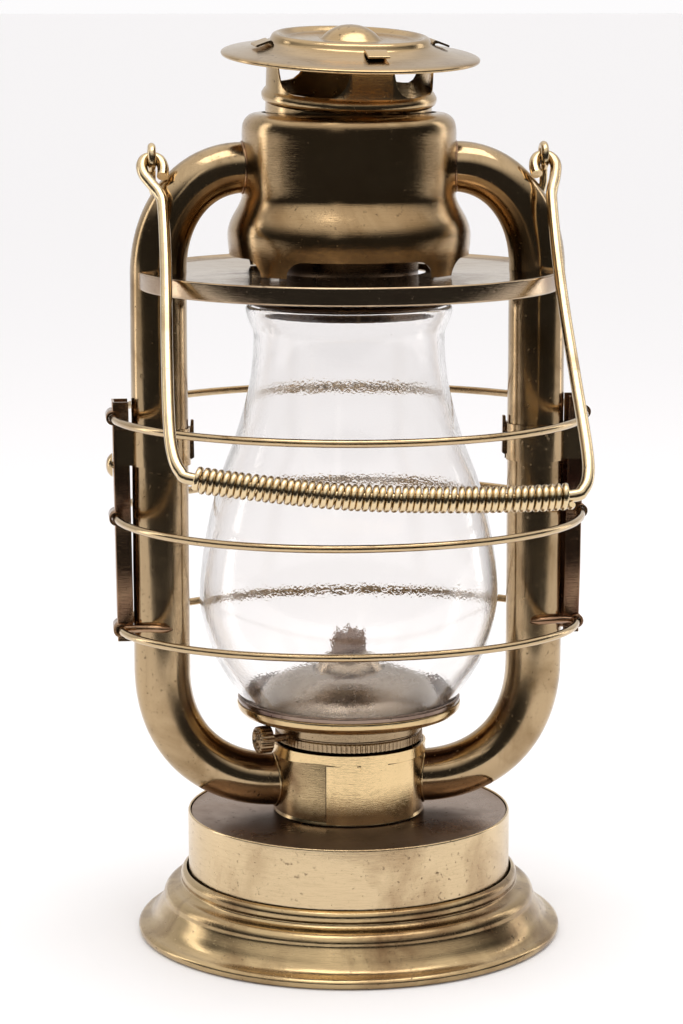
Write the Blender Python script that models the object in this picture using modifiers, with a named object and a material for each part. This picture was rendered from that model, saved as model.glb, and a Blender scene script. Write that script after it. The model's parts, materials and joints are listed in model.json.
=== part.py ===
"""Tubular oil lantern: pressed foot and tank, two air tubes, stepped canopy with a lifting hood,
clear globe in a wire guard, flat-wick burner, screw filler and a wire bail with a coil grip.

Sizes are in millimetres and become metres in the helpers. The lantern stands on z = 0 on the
z axis. The front, where the bail rests, faces -Y.
"""
from math import cos, sin, pi, radians

import bmesh
import bpy
from mathutils import Matrix, Vector

MM = 0.001
GAP = 0.3                      # clearance between touching pieces
ROUND = 24                     # sides of the large turned pieces
FINE = 16                      # sides of the small turned pieces
SHEET = 0.8                    # brass sheet

# Tank and foot
TANK_R = 57.0
TANK_TOP = 43.3
TANK_WALL_FOOT = 3.0
TANK_TOP_DISC = 42.8
FOOT_R = 75.0
FILLER_Y = 41.0
FILLER_NECK_R = 10.5

# Air collar and burner
COLLAR_R = 26.3
COLLAR_TOP = 68.0
BURNER_R = 26.2
SHAFT_Z = 72.0
SHAFT_TURN = radians(18.0)     # the knob sits forward of the left side
SHAFT_OFFSET = 3.9             # the shaft runs in front of the wick
SHAFT_R = 1.3
KNOB_R = 4.85
KNOB_IN = 31.7                 # the knob's inner face, along the shaft
KNOB_OUT = 37.2
WHEEL_R = 2.7
WHEEL_AT = 3.5
WICK_WIDTH = 13.0
WICK_THICK = 1.8
WICK_FOOT = 14.0
WICK_TOP = 108.0

# Side tubes
TUBE_X = 65.8
TUBE_R = 9.8
TUBE_R_DRUM = 8.75             # the tube narrows into the drum
TUBE_R_COLLAR = 9.35           # and a little into the collar
TUBE_WALL = 0.9
TUBE_DRUM_Z = 269.8
TUBE_COLLAR_Z = 54.2
BEND_TOP = 234.0
BEND_FOOT = 95.0

# Canopy
PLATE_R = 73.2
PLATE_TOP = 234.0
DRUM_R = 36.8
DRUM_FOOT = 234.3
CHIMNEY_R = 24.0
HOOD_Z = 293.8                 # centre of the hood's bead
HOOD_LEAN = radians(6.0)       # the hood sits crooked: it leans to the front
HOOD_SIDE = radians(1.3)       # and slightly to the right
POST_TURN = radians(10.0)
POST_R = 28.6

# Wire guard: height, half width and half depth of each ring
WIRE_R = 1.35
RINGS = {"top": (184.5, 82.2, 74.0), "middle": (149.4, 81.5, 72.0), "bottom": (110.0, 80.5, 58.0)}
SLEEVE_R = 2.45
SLEEVE_BORE = 1.95
CLAMP_R = 10.1
CLAMP_LOW = 167.5
CLAMP_HIGH = 180.5
HOOK_LOW = 108.4
HOOK_HIGH = 113.5

# Bail
PIVOT_X = 67.7
PIVOT_Z = 273.3
BAIL_LEAN = radians(46.5)      # the arms rest on the top plate's rim
BAIL_WIRE = 2.0
EAR_R = 3.7
EAR_WIRE = 1.4
GRIP_R = 4.45
GRIP_BORE = 2.35
GRIP_END = 59.5

BRASS = (0.42, 0.31, 0.14, 1.0)
DARK_BRASS = (0.22, 0.15, 0.08, 1.0)
PATINA = (0.30, 0.20, 0.13, 1.0)
GLASS = (0.86, 0.86, 0.84, 0.25)
COTTON = (0.34, 0.24, 0.17, 1.0)
CORK = (0.40, 0.26, 0.15, 1.0)


def clear_scene():
    for obj in list(bpy.data.objects):
        bpy.data.objects.remove(obj, do_unlink=True)


def new_collection(name):
    found = bpy.data.collections.new(name)
    bpy.context.scene.collection.children.link(found)
    return found


clear_scene()
PARTS = new_collection("hurricane_lantern")
CUTTERS = new_collection("cutters")


def finish(obj, colour, metallic=1.0, roughness=0.35):
    """Give the object a material of its own."""
    mat = bpy.data.materials.new(obj.name + "_finish")
    mat.use_nodes = True
    shader = mat.node_tree.nodes["Principled BSDF"]
    shader.inputs["Base Color"].default_value = colour
    shader.inputs["Metallic"].default_value = metallic
    shader.inputs["Roughness"].default_value = roughness
    obj.data.materials.clear()
    obj.data.materials.append(mat)
    return obj


def place(obj, collection=PARTS):
    """Move the object into one collection."""
    for old in list(obj.users_collection):
        old.objects.unlink(obj)
    collection.objects.link(obj)
    return obj


def as_cutter(obj):
    place(obj, CUTTERS)
    obj.hide_render = True
    obj.display_type = "WIRE"
    return obj


def turned(name, profile, steps=ROUND):
    """A profile of (radius, height), outer side first from the top, turned round z."""
    mesh = bpy.data.meshes.new(name)
    points = [(r * MM, 0.0, z * MM) for r, z in profile]
    open_ended = profile[0][0] == 0.0 and profile[-1][0] == 0.0
    edges = [(i, i + 1) for i in range(len(points) - 1)]
    if not open_ended:
        edges.append((len(points) - 1, 0))
    mesh.from_pydata(points, edges, [])
    obj = place(bpy.data.objects.new(name, mesh))
    screw = obj.modifiers.new("turn", "SCREW")
    screw.axis = "Z"
    screw.steps = steps
    screw.render_steps = steps
    screw.use_merge_vertices = True
    screw.merge_threshold = 0.00001
    screw.use_smooth_shade = True
    return obj


def solid(obj):
    """Replace a curve or a modified object by its own closed mesh."""
    bpy.context.view_layer.update()
    graph = bpy.context.evaluated_depsgraph_get()
    mesh = bpy.data.meshes.new_from_object(obj.evaluated_get(graph))
    shape = bmesh.new()
    shape.from_mesh(mesh)
    bmesh.ops.remove_doubles(shape, verts=shape.verts, dist=0.00001)
    bmesh.ops.recalc_face_normals(shape, faces=shape.faces)
    shape.to_mesh(mesh)
    shape.free()
    mesh.shade_smooth()
    mesh.set_sharp_from_angle(angle=radians(35))
    name = obj.name
    made = bpy.data.objects.new(name + "_mesh", mesh)
    made.matrix_world = obj.matrix_world.copy()
    collection = obj.users_collection[0]
    bpy.data.objects.remove(obj, do_unlink=True)
    made.name = name
    collection.objects.link(made)
    return made


def boolean(obj, other, operation):
    as_cutter(other)
    step = obj.modifiers.new(operation.lower(), "BOOLEAN")
    step.operation = operation
    step.solver = "EXACT"
    step.object = other
    return obj


def cut(obj, *cutters):
    for cutter in cutters:
        boolean(obj, cutter, "DIFFERENCE")
    return obj


def join(obj, *others):
    for other in others:
        boolean(obj, other, "UNION")
    return obj


def box(name, low, high):
    """A box between two corners."""
    size = [(b - a) * MM for a, b in zip(low, high)]
    middle = [(a + b) / 2 * MM for a, b in zip(low, high)]
    bpy.ops.mesh.primitive_cube_add(size=1.0)
    obj = bpy.context.object
    obj.name = name
    obj.data.transform(Matrix.Translation(middle) @ Matrix.Diagonal((*size, 1.0)))
    return place(obj)


def rod(name, start, end, radius, sides=20, phase=0.0):
    """A straight cylinder between two points, its sides turned by phase."""
    a, b = Vector(start) * MM, Vector(end) * MM
    bpy.ops.mesh.primitive_cylinder_add(vertices=sides, radius=radius * MM, depth=(b - a).length)
    obj = bpy.context.object
    obj.name = name
    turn = (b - a).to_track_quat("Z", "Y").to_matrix().to_4x4()
    turn = turn @ Matrix.Rotation(phase, 4, "Z")
    obj.data.transform(Matrix.Translation((a + b) / 2) @ turn)
    return place(obj)


def wire(name, points, radius, closed=False, rounds=1, swell=None):
    """A round wire through the points; swell scales its radius at each point."""
    curve = bpy.data.curves.new(name, "CURVE")
    curve.dimensions = "3D"
    curve.bevel_depth = radius * MM
    curve.bevel_resolution = rounds
    curve.use_fill_caps = not closed
    line = curve.splines.new("POLY")
    line.points.add(len(points) - 1)
    for i, point in enumerate(points):
        line.points[i].co = (*[c * MM for c in point], 1.0)
        line.points[i].radius = swell[i] if swell else 1.0
    line.use_cyclic_u = closed
    line.use_smooth = True
    return place(bpy.data.objects.new(name, curve))


def flat(name, outlines, half_thick, frame=None):
    """A flat outline, holes included, thickened both ways and set by a matrix."""
    curve = bpy.data.curves.new(name, "CURVE")
    curve.dimensions = "2D"
    curve.fill_mode = "BOTH"
    curve.extrude = half_thick * MM
    for outline in outlines:
        line = curve.splines.new("POLY")
        line.points.add(len(outline) - 1)
        for i, (x, y) in enumerate(outline):
            line.points[i].co = (x * MM, y * MM, 0.0, 1.0)
        line.use_cyclic_u = True
    obj = place(bpy.data.objects.new(name, curve))
    obj.matrix_world = frame or Matrix.Identity(4)
    return solid(obj)


def bezier(points, count):
    """Points along a cubic Bezier curve in a plane."""
    found = []
    for i in range(count + 1):
        t = i / count
        k = ((1 - t) ** 3, 3 * (1 - t) ** 2 * t, 3 * (1 - t) * t ** 2, t ** 3)
        found.append(tuple(sum(k[j] * points[j][axis] for j in range(4)) for axis in (0, 1)))
    return found


def smooth(points, count):
    """A smooth line through the points, with count steps between neighbours."""
    found = []
    last = len(points) - 1
    for i in range(last):
        p0, p1, p2, p3 = (points[max(i - 1, 0)], points[i], points[i + 1], points[min(i + 2, last)])
        for j in range(count):
            t = j / count
            found.append(tuple(
                0.5 * (2 * b + (c - a) * t + (2 * a - 5 * b + 4 * c - d) * t ** 2
                       + (3 * b - a - 3 * c + d) * t ** 3)
                for a, b, c, d in zip(p0, p1, p2, p3)))
    return found + [points[-1]]


def circle(radius, count):
    return [(radius * cos(2 * pi * i / count), radius * sin(2 * pi * i / count))
            for i in range(count)]


def star(tip, root, teeth):
    """An outline with pointed teeth."""
    return [((tip if i % 2 == 0 else root) * cos(pi * i / teeth),
             (tip if i % 2 == 0 else root) * sin(pi * i / teeth)) for i in range(2 * teeth)]


# Planes for flat outlines: the outline's x and y become these two directions
UPRIGHT = Matrix(((1, 0, 0, 0), (0, 0, -1, 0), (0, 1, 0, 0), (0, 0, 0, 1)))


def make_foot():
    """Pressed hollow foot with a rolled rim; its mouth grips the tank wall."""
    mouth = TANK_R + GAP
    outside = [(mouth + 0.7, 22.2), (59.6, 19.2), (60.7, 16.6), (63.8, 14.9), (66.6, 12.3),
               (69.2, 7.0), (71.2, 4.0), (73.8, 2.9), (FOOT_R, 1.8), (FOOT_R, 0.5), (74.4, 0.0)]
    inside = [(71.5, 0.0), (69.6, 3.2), (67.6, 7.4), (65.0, 11.4), (60.2, 14.6), (mouth, 17.0)]
    finish(turned("base_foot", outside + inside), BRASS)


def make_tank():
    inner = TANK_R - SHEET
    wall = [(TANK_R - 0.3, TANK_TOP), (TANK_R, TANK_TOP - 0.4), (TANK_R, TANK_WALL_FOOT),
            (inner, TANK_WALL_FOOT), (inner, TANK_TOP)]
    finish(turned("tank_wall", wall), BRASS)

    disc_r = inner - GAP
    low = TANK_TOP_DISC - SHEET
    mouth = 17.0
    top = turned("tank_top", [(disc_r, TANK_TOP_DISC), (disc_r, low), (mouth, low),
                              (mouth, TANK_TOP_DISC)])
    hole = rod("filler_hole", (0, FILLER_Y, low - 5), (0, FILLER_Y, TANK_TOP_DISC + 5),
               FILLER_NECK_R + GAP)
    finish(cut(top, hole), PATINA, roughness=0.55)

    # The bottom is dished down until its flat middle is level with the foot's rim
    bottom = [(0.0, 1.0), (20.0, 1.0), (40.0, 5.2), (disc_r, 5.2), (disc_r, 4.2), (40.4, 4.2),
              (20.4, 0.0), (0.0, 0.0)]
    finish(turned("tank_bottom", bottom), BRASS)


def make_filler():
    neck_r = FILLER_NECK_R
    bore = neck_r - 1.2
    seat = TANK_TOP_DISC + GAP
    neck = turned("filler_neck", [(neck_r, 50.1), (neck_r, seat + 1.0), (13.5, seat + 0.9),
                                  (13.5, seat), (neck_r, seat), (neck_r, 38.0), (bore, 38.0),
                                  (bore, 50.1)], FINE)
    skirt = neck_r + 0.4
    cap = turned("filler_cap", [(0.0, 53.2), (10.6, 53.0), (12.4, 51.6), (12.4, 44.7),
                                (skirt, 44.7), (skirt, 51.8), (0.0, 51.8)], FINE)
    seal = turned("filler_seal", [(0.0, 51.4), (neck_r, 51.4), (neck_r, 50.5), (0.0, 50.5)], FINE)
    for obj, colour in ((neck, BRASS), (cap, BRASS), (seal, CORK)):
        obj.location = (0.0, FILLER_Y * MM, 0.0)
        finish(obj, colour, metallic=0.0 if obj is seal else 1.0)


def make_collar():
    inner = COLLAR_R - SHEET
    foot = TANK_TOP_DISC + GAP
    collar = turned("air_collar", [(COLLAR_R, COLLAR_TOP), (COLLAR_R, foot), (inner, foot),
                                   (inner, COLLAR_TOP)])
    bore = rod("collar_bore", (-40, 0, TUBE_COLLAR_Z), (40, 0, TUBE_COLLAR_Z),
               TUBE_R_COLLAR - TUBE_WALL)
    finish(cut(collar, bore), BRASS)

    band_in = COLLAR_R + GAP
    band = turned("collar_band", [(27.3, 68.3), (27.3, 64.0), (band_in, 64.0), (band_in, 68.3)])
    notch = box("band_notch", (5.5, -32.0, 63.0), (14.5, -20.0, 65.6))
    finish(cut(band, notch), BRASS)


def make_burner():
    socket_r = 16.6
    low = TANK_TOP_DISC + GAP
    socket = turned("burner_socket", [(16.2, 50.0), (16.2, low + 1.2), (19.5, low + 1.0),
                                      (19.5, low), (socket_r, low), (socket_r, 40.0),
                                      (15.2, 40.0), (15.2, 50.0)], FINE)
    finish(socket, BRASS)

    plug = turned("wick_tube_plate", [(0.0, 47.2), (14.8, 47.2), (14.8, 46.0), (0.0, 46.0)], FINE)
    slot = upright_box("plate_slot", 15.8, 5.0, 40.0, 55.0)
    finish(cut(plug, slot), BRASS)

    wall = 25.0
    base = turned("burner_base", [
        (BURNER_R, 76.7), (BURNER_R, 72.2), (wall, 71.6), (wall, 64.0), (wall - SHEET, 64.0),
        (wall - SHEET, 68.6), (9.4, 68.6), (9.4, 69.4), (wall - SHEET, 69.4),
        (wall - SHEET, 72.0), (BURNER_R - SHEET, 72.8), (BURNER_R - SHEET, 76.7)])
    start, end = shaft_point(15.0), shaft_point(40.0)
    finish(cut(base, rod("shaft_hole", start, end, SHAFT_R + GAP, 12)), DARK_BRASS)

    gallery = turned("globe_gallery", [
        (39.3, 84.6), (38.4, 81.2), (34.2, 78.2), (27.2, 77.0), (16.0, 77.0), (16.0, 77.7),
        (27.2, 77.7), (33.2, 78.9), (34.4, 81.3), (37.6, 81.7), (38.6, 84.6)])
    finish(gallery, BRASS)

    deck = turned("burner_deck", [
        (12.6, 94.0), (19.0, 92.9), (27.0, 89.2), (32.0, 84.0), (32.6, 79.3), (31.8, 79.3),
        (31.2, 83.6), (26.4, 88.4), (18.6, 92.1), (12.6, 93.2)])
    finish(deck, DARK_BRASS, roughness=0.5)

    cone = turned("burner_cone", [
        (0.0, 100.4), (5.6, 99.9), (9.6, 97.8), (11.8, 94.4), (12.3, 91.0), (12.3, 86.0),
        (11.5, 86.0), (11.5, 91.0), (11.0, 94.0), (9.0, 97.1), (5.4, 99.1), (0.0, 99.6)], FINE)
    blaze_slot = upright_box("blaze_slot", 15.4, 4.6, 96.0, 106.0)
    finish(cut(cone, blaze_slot), DARK_BRASS, roughness=0.5)


def shaft_point(along):
    """A point on the wick shaft, measured outward from beside the wick."""
    outward = Vector((-cos(SHAFT_TURN), -sin(SHAFT_TURN), 0.0))
    forward = Vector((sin(SHAFT_TURN), -cos(SHAFT_TURN), 0.0))
    return outward * along + forward * SHAFT_OFFSET + Vector((0.0, 0.0, SHAFT_Z))


def upright_box(name, width, depth, low, high):
    """A box round the wick, turned with the shaft."""
    obj = box(name, (-width / 2, -depth / 2, low), (width / 2, depth / 2, high))
    obj.data.transform(Matrix.Rotation(SHAFT_TURN, 4, "Z"))
    return obj


def make_wick():
    tube = upright_box("wick_tube", 15.0, 4.2, 38.0, 97.0)
    bore = upright_box("wick_bore", 13.8, 2.8, 30.0, 110.0)
    openings = []
    for at in (-WHEEL_AT, WHEEL_AT):
        opening = box("wheel_opening", (at - 1.5, -6.0, SHAFT_Z - 5.0),
                      (at + 1.5, -1.0, SHAFT_Z + 5.0))
        opening.data.transform(Matrix.Rotation(SHAFT_TURN, 4, "Z"))
        openings.append(opening)
    finish(cut(tube, bore, *openings), BRASS)

    half = WICK_WIDTH / 2
    frayed = [(half, WICK_TOP - 3.0), (half - 1.0, WICK_TOP - 0.6), (half - 2.6, WICK_TOP - 1.6),
              (half - 3.8, WICK_TOP + 1.2), (half - 5.4, WICK_TOP), (-0.6, WICK_TOP + 2.0),
              (-2.0, WICK_TOP + 0.2), (-3.4, WICK_TOP + 1.0), (-half + 1.2, WICK_TOP - 2.2),
              (-half, WICK_TOP - 2.8)]
    outline = [(-half, WICK_FOOT), (half, WICK_FOOT)] + frayed
    wick = flat("wick", [outline], WICK_THICK / 2, Matrix.Rotation(SHAFT_TURN, 4, "Z") @ UPRIGHT)
    finish(wick, COTTON, metallic=0.0, roughness=0.9)

    shaft = rod("knob_shaft", shaft_point(-6.0), shaft_point(KNOB_IN - GAP), SHAFT_R, 12)
    finish(shaft, BRASS)
    for name, at in (("wick_wheel_outer", WHEEL_AT), ("wick_wheel_inner", -WHEEL_AT)):
        wheel = flat(name, [star(WHEEL_R, WHEEL_R - 0.6, 12), circle(SHAFT_R + GAP, 12)], 0.8,
                     across_shaft(at))
        finish(wheel, BRASS)

    middle = (KNOB_IN + KNOB_OUT) / 2
    half_knob = (KNOB_OUT - KNOB_IN) / 2
    knob = flat("wick_knob", [star(KNOB_R, KNOB_R - 0.35, 20)], half_knob, across_shaft(middle))
    finish(knob, DARK_BRASS)


def across_shaft(along):
    """The plane square to the wick shaft at one place along it."""
    turn = Matrix.Rotation(SHAFT_TURN, 4, "Z") @ Matrix.Rotation(radians(-90), 4, "Y")
    return Matrix.Translation(shaft_point(along) * MM) @ turn


def tube_path():
    """Centreline (x, z) and relative radius of the right-hand tube, from drum to collar."""
    drum_in = DRUM_R - 3.0
    top = bezier([(DRUM_R, TUBE_DRUM_Z), (54.0, 269.5), (TUBE_X, 254.0), (TUBE_X, BEND_TOP)], 7)
    foot = bezier([(TUBE_X, BEND_FOOT), (TUBE_X, 70.0), (50.0, 54.3), (26.0, TUBE_COLLAR_Z)], 7)
    path = [((drum_in, TUBE_DRUM_Z), TUBE_R_DRUM)]
    path += [(p, TUBE_R_DRUM + (TUBE_R - TUBE_R_DRUM) * i / 7) for i, p in enumerate(top)]
    path += [(p, TUBE_R + (TUBE_R_COLLAR - TUBE_R) * i / 7) for i, p in enumerate(foot)]
    path.append(((22.0, TUBE_COLLAR_Z), TUBE_R_COLLAR))
    return path


def make_tubes():
    path = tube_path()
    for side, name in ((-1, "tube_left"), (1, "tube_right")):
        points = [(side * x, 0.0, z) for (x, z), r in path]
        tube = solid(wire(name, points, TUBE_R, rounds=4, swell=[r / TUBE_R for _, r in path]))
        longer = [(points[0][0] - side * 4, 0.0, points[0][2])] + points[1:-1]
        longer.append((points[-1][0] - side * 4, 0.0, points[-1][2]))
        bore = solid(wire(name + "_bore", longer, TUBE_R, rounds=4,
                          swell=[(r - TUBE_WALL) / TUBE_R for _, r in path]))
        drum = rod(name + "_drum", (0, 0, 250), (0, 0, 290), DRUM_R + GAP, 40,
                   radians(4.5))
        collar = rod(name + "_collar", (0, 0, 40), (0, 0, 70), COLLAR_R + GAP, 40,
                     radians(4.5))
        finish(cut(tube, bore, drum, collar), BRASS)


def make_ears():
    """Closed wire rings in the plane across the pivot, on a shank over each tube."""
    for side, name in ((-1, "ear_left"), (1, "ear_right")):
        x = side * PIVOT_X
        ring = [(x, EAR_R * cos(2 * pi * i / 14), PIVOT_Z + EAR_R * sin(2 * pi * i / 14))
                for i in range(14)]
        ear = solid(wire(name, ring, EAR_WIRE, closed=True))
        shank = rod(name + "_shank", (x, 0, PIVOT_Z - EAR_R - 0.4), (x, 0, 263.5), EAR_WIRE, 8)
        finish(join(ear, shank), BRASS)


def bail_point(x, along, out=0.0):
    """A point on the resting bail: x, distance along the arms from the pivot, and out of plane."""
    down, ahead = cos(BAIL_LEAN), sin(BAIL_LEAN)
    return (x, -along * ahead - out * down, PIVOT_Z - along * down + out * ahead)


def grip_line():
    """The slightly bowed grip, as (x, distance along the arms)."""
    return [(-60.0, 138.6), (-40.0, 142.4), (-12.0, 146.6), (18.0, 148.3), (46.0, 148.4),
            (60.0, 147.6)]


def make_bail():
    left_eye = [(-64.3, 8.8), (-64.0, 4.6), (-65.2, 1.1), (-67.7, 0.0), (-70.2, 1.1),
                (-71.2, 4.4), (-70.4, 8.2), (-68.0, 12.6)]
    left_arm = [(-65.6, 17.2), (-64.7, 24.0), (-64.9, 50.0), (-66.0, 84.0), (-66.6, 114.0),
                (-66.0, 128.0), (-63.8, 135.6)]
    right_arm = [(63.2, 145.6), (65.7, 140.0), (66.7, 129.0), (66.6, 100.0), (66.5, 70.0),
                 (67.0, 44.0), (68.0, 22.0)]
    right_eye = [(68.8, 16.0), (70.4, 10.4), (71.4, 4.6), (70.2, 1.1), (67.7, 0.0), (65.2, 1.1),
                 (64.0, 4.6), (64.3, 8.8)]
    route = smooth(left_eye + left_arm + grip_line() + right_arm + right_eye, 2)
    bail = wire("bail_handle", [bail_point(x, along) for x, along in route], BAIL_WIRE)
    finish(bail, BRASS)

    grip = [p for p in smooth(grip_line(), 3) if abs(p[0]) < GRIP_END - 2]
    grip = [(-GRIP_END, 138.75)] + grip + [(GRIP_END, 147.65)]
    points = [bail_point(x, along) for x, along in grip]
    sleeve = solid(wire("grip_spring", points, GRIP_R, rounds=2))
    ends = [bail_point(-GRIP_END - 4, 137.9)] + points[1:-1] + [bail_point(GRIP_END + 4, 147.3)]
    bore = solid(wire("grip_bore", ends, GRIP_BORE, rounds=2))
    finish(cut(sleeve, bore), BRASS)


def make_top_plate():
    mouth = 26.5
    plate = turned("top_plate", [
        (72.4, 235.2), (PLATE_R, 234.8), (PLATE_R, 228.8), (72.3, 228.8), (72.3, 233.2),
        (mouth, 233.2), (mouth, PLATE_TOP), (71.4, PLATE_TOP)])
    for side in (-1, 1):
        cut(plate, rod("plate_notch", (side * TUBE_X, 0, 222), (side * TUBE_X, 0, 242),
                       TUBE_R + GAP))
    finish(plate, BRASS)


def make_drum():
    """Stepped drum with a round shoulder, a flared skirt and four arched openings."""
    drum = turned("canopy_drum", [
        (30.0, 288.5), (33.2, 288.2), (35.7, 286.3), (DRUM_R, 283.0), (DRUM_R, 260.2),
        (38.2, 256.6), (40.9, 252.0), (41.9, 246.6), (40.5, DRUM_FOOT), (39.7, DRUM_FOOT),
        (41.1, 246.4), (40.2, 252.2), (37.4, 257.0), (36.0, 260.4), (36.0, 282.8), (35.1, 285.8),
        (33.0, 287.4), (30.0, 287.7)])
    bore = rod("drum_bore", (-60, 0, TUBE_DRUM_Z), (60, 0, TUBE_DRUM_Z), TUBE_R_DRUM - TUBE_WALL)
    cut(drum, bore)
    half, top, corner = 25.0, 241.2, 5.0
    arch = [(-half, 230.0), (half, 230.0), (half, top - corner)]
    arch += [(half - corner + corner * cos(a), top - corner + corner * sin(a))
             for a in (pi / 6, pi / 3, pi / 2)]
    arch += [(-half + corner - corner * sin(a), top - corner + corner * cos(a))
             for a in (0.0, pi / 6, pi / 3, pi / 2)]
    for name, turn in (("arch_front", 0.0), ("arch_side", pi / 2)):
        frame = Matrix.Rotation(turn, 4, "Z") @ UPRIGHT
        cut(drum, flat(name, [arch], 60.0, frame))
    finish(drum, BRASS)


def hood_frame():
    """Where the crooked hood sits: bead centre, leaning to the front and right."""
    lean = Matrix.Rotation(HOOD_LEAN, 4, "X") @ Matrix.Rotation(HOOD_SIDE, 4, "Y")
    return Matrix.Translation((0.0, 0.0, HOOD_Z * MM)) @ lean


def post_frame(index):
    """A post's own frame in the hood: x runs outward, y up and z sideways."""
    outward = Matrix.Rotation(radians(-90) + POST_TURN + index * pi / 2, 4, "Z")
    return outward @ UPRIGHT


def make_hood():
    frame = hood_frame()
    wall = POST_R - SHEET
    ring = turned("hood_ring", [
        (POST_R, 16.6), (POST_R, 2.2), (29.6, 1.5), (30.1, 0.0), (29.6, -1.5), (POST_R, -2.2),
        (POST_R, -6.0), (wall, -6.0), (wall, 16.6)])
    vent = [(10.0, 3.0), (12.4, 5.6), (13.8, 9.0), (14.6, 14.0), (14.8, 20.0)]
    outline = vent + [(-x, z) for x, z in reversed(vent)]
    for index in range(2):
        turn = Matrix.Rotation(POST_TURN + pi / 4 + index * pi / 2, 4, "Z")
        cutter = flat("hood_vent", [outline], 50.0, turn @ UPRIGHT)
        cutter.matrix_world = frame @ cutter.matrix_world
        cut(ring, cutter)
    tab = [(28.0, 15.0), (28.2, 18.8), (29.0, 19.6), (30.2, 19.3), (34.3, 17.8), (34.1, 17.1),
           (30.2, 18.5), (29.0, 18.4), (28.6, 15.0)]
    for index in range(4):
        piece = flat("hood_tab", [tab], 4.0, post_frame(index))
        piece.matrix_world = frame @ piece.matrix_world
        join(ring, piece)
    ring.matrix_world = frame
    finish(ring, BRASS)

    cap = turned("hood_cap", [
        (0.0, 24.5), (5.5, 23.4), (9.3, 21.0), (10.6, 19.5), (22.6, 19.4), (24.4, 20.8),
        (26.1, 21.0), (27.3, 20.0), (27.7, 18.7), (34.0, 16.3), (42.6, 14.9), (44.3, 14.2),
        (44.3, 13.2), (42.4, 14.0), (33.8, 15.4), (26.9, 17.9), (26.2, 19.4), (25.0, 19.9),
        (22.8, 18.6), (10.1, 18.7), (8.7, 20.2), (5.2, 22.5), (0.0, 23.6)])
    for index in range(4):
        slot = flat("tab_slot", [[(27.8, 13.0), (29.9, 13.0), (29.9, 26.0), (27.8, 26.0)]], 4.6,
                    post_frame(index))
        slot.matrix_world = frame @ slot.matrix_world
        cut(cap, slot)
    cap.matrix_world = frame
    finish(cap, BRASS)

    inner = CHIMNEY_R - SHEET
    chimney = turned("inner_chimney", [(CHIMNEY_R, 287.0), (CHIMNEY_R, 223.4), (inner, 223.4),
                                       (inner, 287.0)])
    finish(chimney, DARK_BRASS)
    collar = CHIMNEY_R + GAP
    dish = turned("globe_cap", [
        (25.1, 229.0), (25.1, 225.4), (34.3, 223.8), (34.5, 222.9), (30.9, 222.9), (30.9, 219.2),
        (30.1, 219.2), (30.1, 223.3), (collar, 224.4), (collar, 229.0)])
    finish(dish, DARK_BRASS)


def make_globe():
    """Pear-shaped glass: an outer line down and the inner line back up."""
    outside = [(35.8, 222.6), (35.8, 217.4), (33.3, 212.5), (33.5, 205.0), (36.0, 188.0),
               (46.1, 158.7), (50.8, 137.5), (52.5, 121.5), (50.6, 109.0), (43.5, 92.5),
               (38.3, 84.8), (37.8, 82.4)]
    inside = [(35.6, 82.4), (36.6, 86.4), (41.8, 94.0), (48.7, 109.6), (50.5, 121.5),
              (48.8, 137.2), (44.2, 158.0), (34.1, 187.4), (31.6, 205.0), (31.4, 212.9),
              (33.8, 218.2), (33.8, 222.6)]
    finish(turned("globe", outside + inside), GLASS, metallic=0.0, roughness=0.05)


def make_guard():
    count = 32
    for name, (z, half_x, half_y) in RINGS.items():
        points = [(half_x * cos(2 * pi * i / count), half_y * sin(2 * pi * i / count), z)
                  for i in range(count)]
        finish(wire("guard_ring_" + name, points, WIRE_R, closed=True), BRASS)
    for side, name in ((-1, "guard_strap_left"), (1, "guard_strap_right")):
        make_strap(side, name)

    web = strap_web(CLAMP_LOW)
    stud = turned("guard_stud", [(0.0, 2.3), (2.4, 1.7), (4.15, 0.0), (3.4, 0.1), (1.2, 0.9),
                                 (1.2, -1.6), (0.0, -1.6)], 16)
    face = Matrix.Rotation(radians(-90), 4, "Y")
    stud.matrix_world = Matrix.Translation((-(web + 0.1) * MM, 0.0, CLAMP_LOW * MM)) @ face
    finish(stud, BRASS)


def strap_web(z):
    """The strap's outer face tapers slightly inward towards its foot."""
    high, low = 190.0, 106.0
    return 81.4 + (82.5 - 81.4) * (z - low) / (high - low)


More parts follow.
